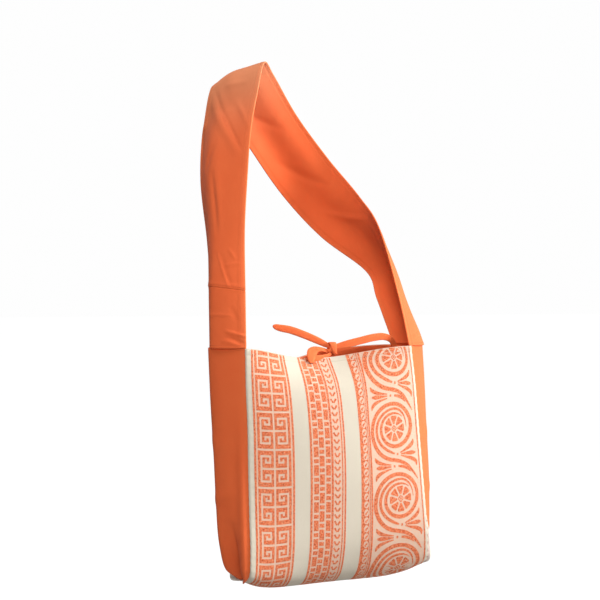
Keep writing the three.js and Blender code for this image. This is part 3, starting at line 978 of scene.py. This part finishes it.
def lining_sheet(across, run):
    share = LINING_SIDE_SHARE + (1 - 2 * LINING_SIDE_SHARE) * across
    depth = PANEL_THICKNESS + LINING_GAP
    return panel_sheet(share, run) - depth * outward_of(panel_sheet, share, run)


def plain_cotton(name, colour, pale, width, highlight_at=None):
    """Plain dyed cotton, paler at the edges of a piece that is so wide as a painted highlight where light
    catches the turned edges, and paler round a place as a painted highlight of light from above.
    """
    made, thread = new_material(name)
    flat, sideways, lengthways, yarn = weave(thread, PLAIN_PITCH)
    slub = cloth_noise(thread, flat, PLAIN_SLUB_SPOTS, 2, PLAIN_SLUB_STRETCH)
    cloud = cloth_noise(thread, flat, PLAIN_CLOUD_SPOTS, 4)
    from_edge = sideways.maths("MINIMUM", sideways, width * MM - sideways)
    # Paler within a few millimetres of each edge: a painted highlight where light catches the turned edges.
    edge_highlight = (from_edge * EDGE_HIGHLIGHT_FALL).applied("EXPONENT")
    paled = edge_highlight * EDGE_HIGHLIGHT_SHARE + cloud * PLAIN_CLOUD_SHARE + slub * PLAIN_SLUB_SHARE
    shade = mixed(thread, paled, colour, pale)
    if highlight_at:
        # Paler round the strap's top: a painted highlight of light from above on the shoulder.
        off = (lengthways - highlight_at * MM) * (1 / (TOP_HIGHLIGHT_REACH * MM))
        top_highlight = TOP_HIGHLIGHT_SHARE * (off * off * -1).applied("EXPONENT")
        shade = mixed(thread, top_highlight, shade, COTTON_LIT_TOP)
    cotton_shader(thread, shade, yarn + slub * PLAIN_SLUB_HEIGHT, PLAIN_RELIEF, PLAIN_ROUGHNESS)
    return made


lining = cloth_wall(
    "lining_cloth",
    lining_sheet,
    np.linspace(LINING_START, PANEL_LENGTH - LINING_START, LINING_ROWS + 1),
    np.linspace(0, 1, LINING_COLUMNS + 1),
    LINING_WIDTH,
    PANEL_CLOTH_LENGTH,
    lambda across, run: np.array(LINING_THICKNESS),
)
lining.data.materials.append(plain_cotton("lining_cotton", COTTON_ORANGE, COTTON_PALE, LINING_WIDTH))
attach(lining, "root")
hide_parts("lining")

# Gussets
# The two plain side strips, one each side, sewn to the panel's edges down to the bottom corners and
# creased outwards down the middle. Below, each is folded in behind the front seam.
SEAM_GAP = 0.5
GUSSET_WIDTH = 127
GUSSET_THICKNESS = 1.5
GUSSET_SEAM_SHARE = 0.004
GUSSET_END_RUN = 412
GUSSET_CREASE_POWER = 1.6
GUSSET_ROWS = 110
GUSSET_COLUMNS = 48
VALLEY_WIDTH = 0.14
GUSSET_SECTIONS = {
    "run": [0, 130, 260, 330, 372, 395, 412],
    "left": [44, 42, 41, 39, 30, 13, 2],
    "right": [44, 39, 34, 29, 20, 8, 2],
    "valley": [0, 0, 0.05, 0.35, 0.8, 0.85, 0],
    "place": [0.32, 0.32, 0.31, 0.33, 0.37, 0.4, 0.4],
}
# Soft folds: where each starts and ends (share across, run), half its width, and its height.
GUSSET_FOLDS = {
    "left": [
        (0.925, 90, 0.91, 640, 6.5, 6.5),
        (0.77, 285, 0.70, 440, 9, -7),
        (0.15, 262, 0.95, 238, 9, 1.1),
        (0.1, 150, 0.9, 166, 12, 0.8),
        (0.38, 60, 0.3, 215, 10, 0.7),
    ],
    "right": [
        (0.15, 262, 0.95, 238, 9, 1.1),
        (0.1, 150, 0.9, 166, 12, 0.8),
        (0.35, 340, 0.8, 300, 8, 1.2),
        (0.62, 60, 0.7, 215, 10, 0.7),
    ],
}


def gusset_sheet(side):
    """A gusset's outer face: side is -1 on the left and 1 on the right."""
    seam_share = np.array(GUSSET_SEAM_SHARE if side < 0 else 1 - GUSSET_SEAM_SHARE)

    def seam(run):
        share = np.broadcast_to(seam_share, run.shape)
        return panel_sheet(share, run) - (PANEL_THICKNESS + SEAM_GAP) * outward_of(panel_sheet, share, run)

    def sheet(across, run):
        to_back = 1 - across if side < 0 else across
        crease = 1 - np.abs(2 * to_back - 1) ** GUSSET_CREASE_POWER
        fold = np.exp(-(((to_back - smooth(GUSSET_SECTIONS, "place", run)) / VALLEY_WIDTH) ** 2))
        rise = smooth(GUSSET_SECTIONS, "left" if side < 0 else "right", run) * crease
        front = seam(run)
        points = front + (seam(PANEL_LENGTH - run) - front) * to_back[..., None]
        points[..., 0] += side * rise * (1 - smooth(GUSSET_SECTIONS, "valley", run) * fold)
        return points

    return sheet


def fold_relief(folds, across, run):
    """The height of soft folds, each along a straight line on the flat cloth and faded at its ends."""
    relief = np.zeros(run.shape)
    for first_across, first_run, last_across, last_run, half, height in folds:
        line = np.array([(last_across - first_across) * GUSSET_WIDTH, last_run - first_run])
        place = np.stack([(across - first_across) * GUSSET_WIDTH, run - first_run], -1)
        share = place @ line / (line @ line)
        off = (place[..., 0] * line[1] - place[..., 1] * line[0]) / np.linalg.norm(line)
        fade = np.clip(1 - (2 * share - 1) ** 2, 0, 1)
        relief += height * fade * np.exp(-((off / half) ** 2))
    return relief


gusset_cotton = plain_cotton("gusset_cotton", COTTON_ORANGE, COTTON_PALE, GUSSET_WIDTH)
gusset_runs = np.linspace(0, GUSSET_END_RUN, GUSSET_ROWS + 1)
for side, name in [(-1, "left"), (1, "right")]:
    gusset = cloth_wall(
        "gusset_cloth_" + name,
        with_relief(gusset_sheet(side), partial(fold_relief, GUSSET_FOLDS[name])),
        gusset_runs,
        np.linspace(0, 1, GUSSET_COLUMNS + 1),
        GUSSET_WIDTH,
        gusset_runs[-1],
        lambda across, run: np.array(GUSSET_THICKNESS),
    )
    gusset.data.materials.append(gusset_cotton)
    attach(gusset, "root")
    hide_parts("gusset_" + name)

# Strap
# Plain cotton as wide as the gussets, in a short and a long length joined by a cross seam, turned in
# and sewn along both edges. It goes over one shoulder, and its ends are sewn to the gussets.
STRAP_LENGTH = 1258
STRAP_JOIN_RUN = 104
STRAP_THICKNESS = 2.5
STRAP_CREASE_POWER = 1.7
STRAP_FOLDS_ACROSS = 1.5
STRAP_LEVEL_RUN = 60
SEAM_RIDGE = 0.9
SEAM_RIDGE_PLACE = 6
SEAM_RIDGE_HALF = 5
STRAP_COLUMNS = 44
STRAP_EDGE_SHARE = 0.11
STRAP_EDGE_COLUMNS = 12
SEAM_STITCH_INSET = 0.015
STRAP_SECTIONS = {
    "run": [0, 104, 223, 327, 427, 480, 563, 616, 718, 830, 939, 1044, 1158, 1258],
    "front_x": [-85, -74, -55, -33, -9, 13, 43, 76, 139, 202, 236, 239, 250, 234],
    "front_y": [-234, -204, -157, -117, -79, -50, -20, 17, 46, 30, -36, -111, -171, -234],
    "front_z": [-514.2, -417, -309, -216, -120, -59, 17.5, 3, -68, -154, -232, -297, -432, -514.2],
    "back_x": [-99, -98, -92, -86, -71, -67, -48, -16, 50, 120, 190, 251, 242, 249],
    "back_y": [-148, -112, -61, -15, 23, 20, 20, 55, 76, 68, 34, -37, -98, -148],
    "back_z": [-514.2, -417, -309, -216, -132, -101, -27, -53, -132, -226, -308, -375, -432, -514.2],
    "rise": [44, 38, 26, 22, 16, 9, 8.5, 5, 7, 9, 14, 19, 41, 44],
    "fold": [0, 0, 1, 2, 3, 3, 1, 2, 3, 3, 2, 1, 0, 0],
}
# Soft folds, as on the gussets.
STRAP_FOLDS = [
    (0.97, 536, 0.12, 366, 9, 3.2),
    (0.91, 542, 0.05, 372, 4.5, -2.8),
    (0.42, 500, 0.02, 428, 5, 1.8),
    (0.80, 552, 0.40, 475, 9, -1.6),
    (0.70, 532, 0.20, 522, 5, 1.2),
    (0.97, 470, 0.93, 355, 5, -2.0),
    (0.58, 400, 0.76, 335, 6, -1.5),
    (0.60, 345, 0.44, 205, 6, -2.2),
    (0.48, 340, 0.38, 205, 7, 1.6),
    (0.41, 172, 0.19, 104, 2.6, 1.6),
    (0.35, 172, 0.15, 104, 4, -0.8),
    (0.31, 144, 0.02, 157, 3, 1.2),
    (0.24, 182, 0.10, 160, 3, 0.9),
    (0.60, 54, 0.10, 57, 3, 0.9),
    (0.16, 74, 0.08, 44, 4, -0.9),
    (0.26, 30, -0.06, 19, 3.2, 1.8),
    (0.22, 20, -0.02, 6, 3.4, -1.6),
    (0.30, 12, 0.06, 9, 4, 1.5),
    (0.30, 1235, 0.02, 1242, 4, 1.2),
    (0.75, 1090, 0.45, 1200, 8, 1.6),
    (0.20, 1000, 0.45, 1110, 9, -1.6),
    (0.90, 640, 0.30, 730, 8, 2.0),
    (0.80, 760, 0.25, 880, 9, 1.8),
    (0.70, 900, 0.20, 990, 8, -1.6),
]


def strap_edge(edge, run):
    return np.stack([smooth(STRAP_SECTIONS, edge + axis, run) for axis in ("_x", "_y", "_z")], -1)


def strap_sheet(across, run):
    """The strap's outer face: run starts at the left gusset and goes over the shoulder."""
    front = strap_edge("front", run)
    back = strap_edge("back", run)
    ahead = strap_edge("front", run + 1) + strap_edge("back", run + 1)
    behind = strap_edge("front", run - 1) + strap_edge("back", run - 1)
    outward = unit(np.cross(ahead - behind, back - front))
    from_end = np.clip(np.minimum(run, STRAP_LENGTH - run) / STRAP_LEVEL_RUN, 0, 1)
    outward[..., 2] *= from_end * from_end * (3 - 2 * from_end)
    crease = 1 - np.abs(2 * across - 1) ** STRAP_CREASE_POWER
    fold = np.sin(2 * np.pi * STRAP_FOLDS_ACROSS * (across - 0.5))
    height = smooth(STRAP_SECTIONS, "rise", run) * crease + smooth(STRAP_SECTIONS, "fold", run) * fold
    return front + (back - front) * across[..., None] + outward * height[..., None]


def strap_relief(across, run):
    """Folds, the turned hems along both edges, and the turnings that lie under the cross seam."""
    from_edge = np.minimum(across, 1 - across) * GUSSET_WIDTH
    turnings = np.exp(-(((run - STRAP_JOIN_RUN - SEAM_RIDGE_PLACE) / SEAM_RIDGE_HALF) ** 2))
    raised = HEM_BULGE * hem_share(from_edge) + SEAM_RIDGE * turnings
    return fold_relief(STRAP_FOLDS, across, run) + raised


STRAP_TOP_RUN = 560
STRAP_STITCH_SHARE = 0.05
SEAM_STITCH = 4.5
ORANGE_THREAD = (0.58, 0.10, 0.03, 1)

top_of_long = STRAP_TOP_RUN - STRAP_JOIN_RUN
# The strap's top, at top_of_long, is painted paler as a highlight of light from above.
strap_cotton = plain_cotton("strap_cotton", COTTON_ORANGE, COTTON_PALE, GUSSET_WIDTH, top_of_long)
strap_face = with_relief(strap_sheet, strap_relief)
strap_shares = finer_ends(1, STRAP_EDGE_SHARE, STRAP_EDGE_COLUMNS, STRAP_COLUMNS)
orange_thread = sewing_thread("orange_thread", ORANGE_THREAD)
seam_shares = np.linspace(SEAM_STITCH_INSET, 1 - SEAM_STITCH_INSET, 60)
stitch_shares = (STRAP_STITCH_SHARE, 1 - STRAP_STITCH_SHARE)
STRAP_PIECES = [
    ("strap_short", 0, STRAP_JOIN_RUN - SEAM_GAP, 60, (0.14, 0.12), [SEAM_STITCH]),
    ("strap_long", STRAP_JOIN_RUN, STRAP_LENGTH, 480, (0.14, 1.17),
     [STRAP_JOIN_RUN + SEAM_STITCH, STRAP_LENGTH - SEAM_STITCH]),
]
for name, start, stop, rows, flat_size, seam_runs in STRAP_PIECES:
    strap = cloth_wall(
        name + "_cloth",
        strap_face,
        np.linspace(start, stop, rows + 1),
        strap_shares,
        GUSSET_WIDTH,
        stop - start,
        lambda across, run: np.array(STRAP_THICKNESS),
    )
    strap.data.materials.append(strap_cotton)
    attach(strap, "root")
    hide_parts(name)
    edge_runs = np.arange(start + 1.5, stop - 1.5, 4)
    sewn_rows = [sheet_row(strap_face, share, edge_runs) for share in stitch_shares]
    sewn_rows += [sheet_row(strap_face, seam_shares, run) for run in seam_runs]
    strap_stitches = stitched(name + "_stitches", sewn_rows, orange_thread)

# Ties
# Two flat strips of the orange cotton, each folded to a narrow band and sewn along its edges. One is
# sewn to the front hem and one to the back hem, and a reef knot joins them over the mouth.
TIE_THICKNESS = 2
TIE_WIDTH = 13.5
TIE_SIDES = 12
TIE_STITCH_INSET = 2.2
TIE_STITCH_LIFT = 0.42
TIE_EDGE_POWER = 0.6
FRONT_TIE = {
    "x": [46, 46, 50, 57, 66, 77, 88, 95, 98.5, 95.5, 88, 70, 44, 18, 0, -9, -12],
    "y": [-219.6, -216.4, -211.4, -208, -206, -202.9, -201, -201.5, -201, -199.8, -199, -195, -191, -187,
          -184, -182.5, -182],
    "z": [-543, -535.5, -526, -521, -519, -520.5, -523.2, -521.5, -518, -514.8, -513.5, -505, -494, -485,
          -481.5, -479, -478],
    "width": [9, 15, 20, 15, 9, 7.5, 7, 6.8, 6.5, 7, 9, 12.5, 13.5, 13.5, 12, 8.5, 4],
    "face_x": [0.15] * 7 + [0, -0.05, -0.1] + [-0.15] * 7,
    "face_z": [0.4] * 7 + [0.2, 0.15] + [0.1] * 8,
}
BACK_TIE = {
    "x": [75, 88, 101, 107, 104.4, 98, 96, 98, 104.7, 122, 150, 178, 200, 216, 223, 224, 222],
    "y": [-170.8, -171.8, -178.5, -189, -198.5, -200, -200, -200, -200.5, -203, -204, -203, -201, -199, -197,
          -195, -194],
    "z": [-531, -528, -526.5, -526, -524.5, -522, -519.5, -517, -515, -511.5, -505.5, -500, -499, -505, -518,
          -536, -554],
    "width": [13, 13, 12, 10, 8, 7, 6.5, 7, 9, 13, 13.5, 13.5, 13, 12.5, 12, 12, 11],
    "face_x": [0.2] * 5 + [0.15, 0.1, 0.05] + [0] * 9,
    "face_z": [0.2] * 6 + [0.18, 0.16] + [0.15] * 9,
}


def tie_line(tie, step=1.5):
    """Points along a tie's middle, with its width and the way that its face looks."""
    line = np.stack([tie["x"], tie["y"], tie["z"]], -1).astype(float)
    lengths = np.linalg.norm(np.diff(line, axis=0), axis=1)
    table = {**tie, "run": np.concatenate([[0], np.cumsum(lengths)])}
    run = np.linspace(0, table["run"][-1], math.ceil(table["run"][-1] / step) + 1)
    middle = np.stack([smooth(table, axis, run) for axis in ("x", "y", "z")], -1)
    face = np.stack([smooth(table, "face_x", run), -np.ones(len(run)), smooth(table, "face_z", run)], -1)
    return middle, face, smooth(table, "width", run)


def flat_band(middle, face, width, closed=False):
    """A flat band of cloth with rounded edges along a line of points."""
    if closed:
        forward = unit(np.roll(middle, -1, axis=0) - np.roll(middle, 1, axis=0))
    else:
        forward = unit(np.gradient(middle, axis=0))
    sideways = unit(np.cross(face, forward))
    outward = np.cross(forward, sideways)
    turns = 2 * np.pi * np.arange(TIE_SIDES) / TIE_SIDES
    wide = np.sign(np.cos(turns)) * np.abs(np.cos(turns)) ** TIE_EDGE_POWER / 2
    thick = np.sin(turns) * TIE_THICKNESS / 2
    ring = sideways[:, None] * (wide[None, :, None] * width[:, None, None])
    ring = middle[:, None] + ring + outward[:, None] * thick[None, :, None]
    rows = len(middle)
    index = np.arange(rows * TIE_SIDES).reshape(rows, TIE_SIDES)
    ahead = np.roll(index, -1, axis=0) if closed else index[1:]
    here = index if closed else index[:-1]
    corners = [here, np.roll(here, -1, axis=1), np.roll(ahead, -1, axis=1), ahead]
    faces = np.stack(corners, -1).reshape(-1, 4).tolist()
    if not closed:
        faces += [index[0, ::-1].tolist(), index[-1].tolist()]
    lengths = np.concatenate([[0], np.cumsum(np.linalg.norm(np.diff(middle, axis=0), axis=1))])
    flats = np.stack(np.broadcast_arrays(wide * TIE_WIDTH + TIE_WIDTH / 2, lengths[:, None]), -1)
    return ring.reshape(-1, 3), faces, flats.reshape(-1, 2), lengths[-1]


tie_cotton = plain_cotton("tie_cotton", COTTON_ORANGE, COTTON_PALE, TIE_WIDTH)
TIES = [
    ("front_tie", FRONT_TIE, ["front_tie_stem", "front_tie_tail"]),
    ("back_tie", BACK_TIE, ["back_tie_stem", "back_tie_tail"]),
]
tie_pieces = {}
for name, tie, nodes in TIES:
    middle, face, width = tie_line(tie)
    points, faces, flats, length = flat_band(middle, face, width)
    piece = cloth_object(name, points, faces, flats)
    piece.data.materials.append(tie_cotton)
    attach(piece, "root")
    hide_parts(*nodes)
    forward = unit(np.gradient(middle, axis=0))
    sideways = unit(np.cross(face, forward))
    outward = np.cross(forward, sideways)
    to_edge = width[:, None] / 2 - TIE_STITCH_INSET
    sewn_line = middle + sideways * to_edge + outward * TIE_THICKNESS * TIE_STITCH_LIFT
    tie_stitches = stitched(name + "_stitches", [(sewn_line, outward)], orange_thread)
    tie_pieces[name] = (piece, middle, length, tie_stitches)

# The knot
# Each tie is wrapped once round the other and drawn tight, so two crossed loops of the same band show,
# with a doubled strand under the front tie.
KNOT_MIDDLE = np.array([96, -200, -519])
KNOT_STEPS = 48
# Each loop's shift, its reach to the viewer and up, its lean, and its width at the top and below.
KNOT_LOOPS = [(-4.5, 5.0, 7.5, 0.55, 9, 7), (0.2, 6.2, 11, -0.1, 15, 5)]
KNOT_STRAND = {
    "x": [38, 49.2, 61.3, 74.8, 86.6, 92],
    "y": [-213.5, -214, -212.5, -208.5, -204.5, -202],
    "z": [-532.5, -535.1, -534.5, -532.3, -530, -527],
    "width": [3, 10, 10, 7, 6, 5],
    "face_x": [0.1] * 6,
    "face_z": [0.2] * 6,
}
knot_parts = []
knot_points = 0
knot_bands = [(*tie_line(KNOT_STRAND), False)]
for shift, reach_y, reach_z, lean, top_width, low_width in KNOT_LOOPS:
    turns = np.linspace(0, 2 * np.pi, KNOT_STEPS, endpoint=False)
    rise = reach_z * np.sin(turns)
    ring = np.stack([lean * rise, reach_y * np.cos(turns), rise], -1)
    face = ring * [0, 1, 0.5]
    width = low_width + (top_width - low_width) * (1 + np.sin(turns)) / 2
    knot_bands.append((KNOT_MIDDLE + [shift, 0, 0] + ring, face, width, True))
knot_faces = []
for middle, face, width, closed in knot_bands:
    points, faces, flats, length = flat_band(middle, face, width, closed)
    knot_parts.append((points, flats))
    knot_faces += [[knot_points + corner for corner in corners] for corners in faces]
    knot_points += len(points)
knot = cloth_object(
    "knot_loops",
    np.concatenate([part[0] for part in knot_parts]),
    knot_faces,
    np.concatenate([part[1] for part in knot_parts]),
)
knot.data.materials.append(tie_cotton)
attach(knot, "root")
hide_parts("tie_knot")
for name, carried in [("front_tie", [knot]), ("back_tie", [])]:
    piece, middle, length, tie_stitches = tie_pieces[name]
    tuple(middle[0] * MM)
    length * MM
    [tuple(point) for point in middle * MM]
